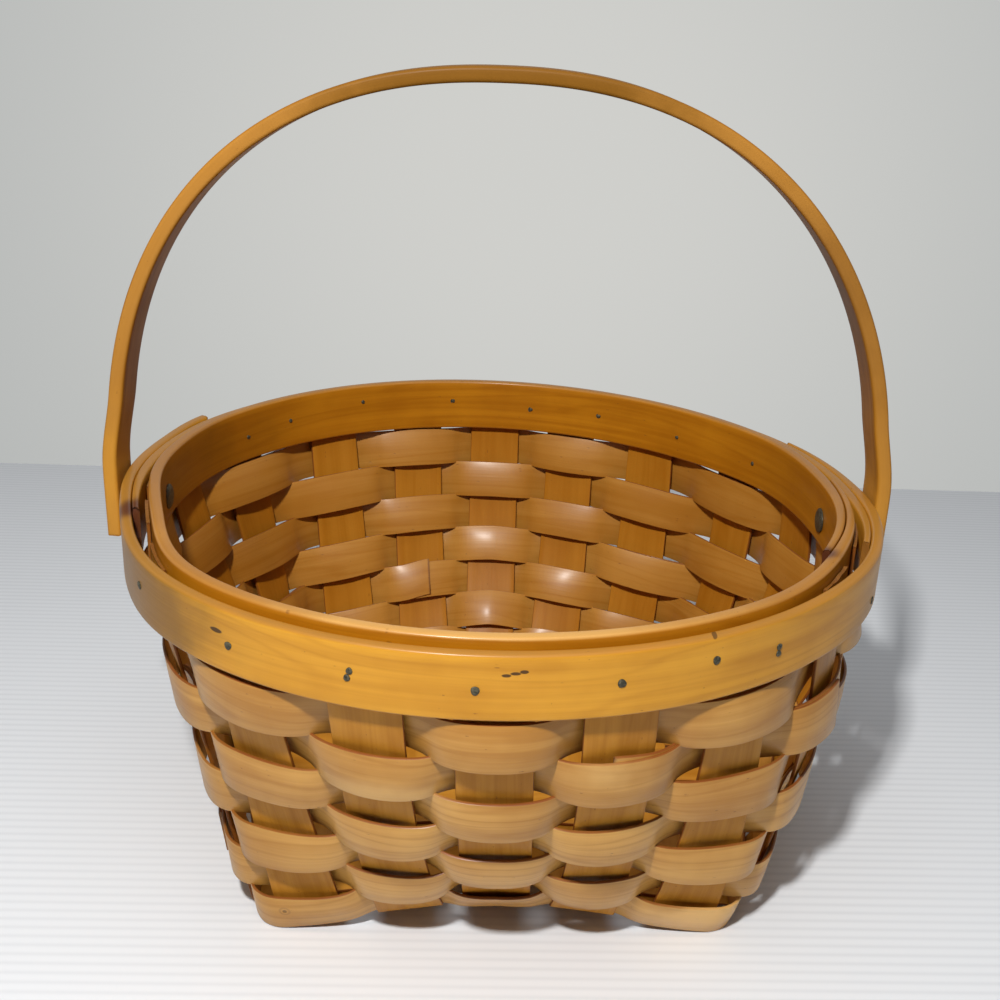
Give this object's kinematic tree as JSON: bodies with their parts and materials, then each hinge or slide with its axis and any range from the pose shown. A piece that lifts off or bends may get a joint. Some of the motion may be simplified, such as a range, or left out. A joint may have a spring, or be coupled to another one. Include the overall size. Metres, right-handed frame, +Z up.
{
  "type": "basket",
  "caption": "Woven wood-splint basket with a round nailed rim, a square base on four corner feet and a bow handle that swings on two rivets",
  "frame": {"origin": "on the table, below the middle of the round rim", "axes": "+X to the basket's right along the line through the two rivets, -Y to the front, +Z up"},
  "size_m": [0.325, 0.3058, 0.3145],
  "materials": {
    "stake_splint": "varnished, satin",
    "weaver_splint": "varnished, satin",
    "outer_hoop": "varnished, satin",
    "inner_hoop": "varnished, satin",
    "handle_bow": "varnished, satin",
    "rivet_metal": "dull, darkened",
    "nail_metal": "dull, darkened"
  },
  "bodies": {
    "basket": {"stake_front_back_1": "stake_splint", "stake_front_back_2": "stake_splint", "stake_front_back_3": "stake_splint", "stake_front_back_4": "stake_splint", "stake_front_back_5": "stake_splint", "stake_left_right_1": "stake_splint", "stake_left_right_2": "stake_splint", "stake_left_right_3": "stake_splint", "stake_left_right_4": "stake_splint", "stake_left_right_5": "stake_splint", "weaver_row_1": "weaver_splint", "weaver_row_2": "weaver_splint", "weaver_row_3": "weaver_splint", "weaver_row_4": "weaver_splint", "weaver_row_5": "weaver_splint", "weaver_row_6": "weaver_splint", "weaver_row_7": "weaver_splint", "outer_band_front": "outer_hoop", "outer_band_back": "outer_hoop", "inner_band": "inner_hoop", "rivet_right": "rivet_metal", "rivet_left": "rivet_metal", "nail_front_1": "nail_metal", "nail_front_2": "nail_metal", "nail_front_3_upper": "nail_metal", "nail_front_3_lower": "nail_metal", "nail_front_4": "nail_metal", "nail_front_5": "nail_metal", "nail_front_6": "nail_metal", "nail_front_7_upper": "nail_metal", "nail_front_7_lower": "nail_metal", "nail_front_8": "nail_metal", "nail_back_1": "nail_metal", "nail_back_2": "nail_metal", "nail_back_3": "nail_metal", "nail_back_4": "nail_metal", "nail_back_5": "nail_metal", "nail_back_6": "nail_metal", "nail_back_7": "nail_metal", "nail_back_8": "nail_metal"},
    "handle": {"handle": "handle_bow"}
  },
  "joints": [
    {"name": "handle_swing", "type": "hinge", "parent": "basket", "child": "handle", "pos_m": [0, 0, 0.1396], "axis": [1, 0, 0], "range_deg": [-125, 125]}
  ]
}
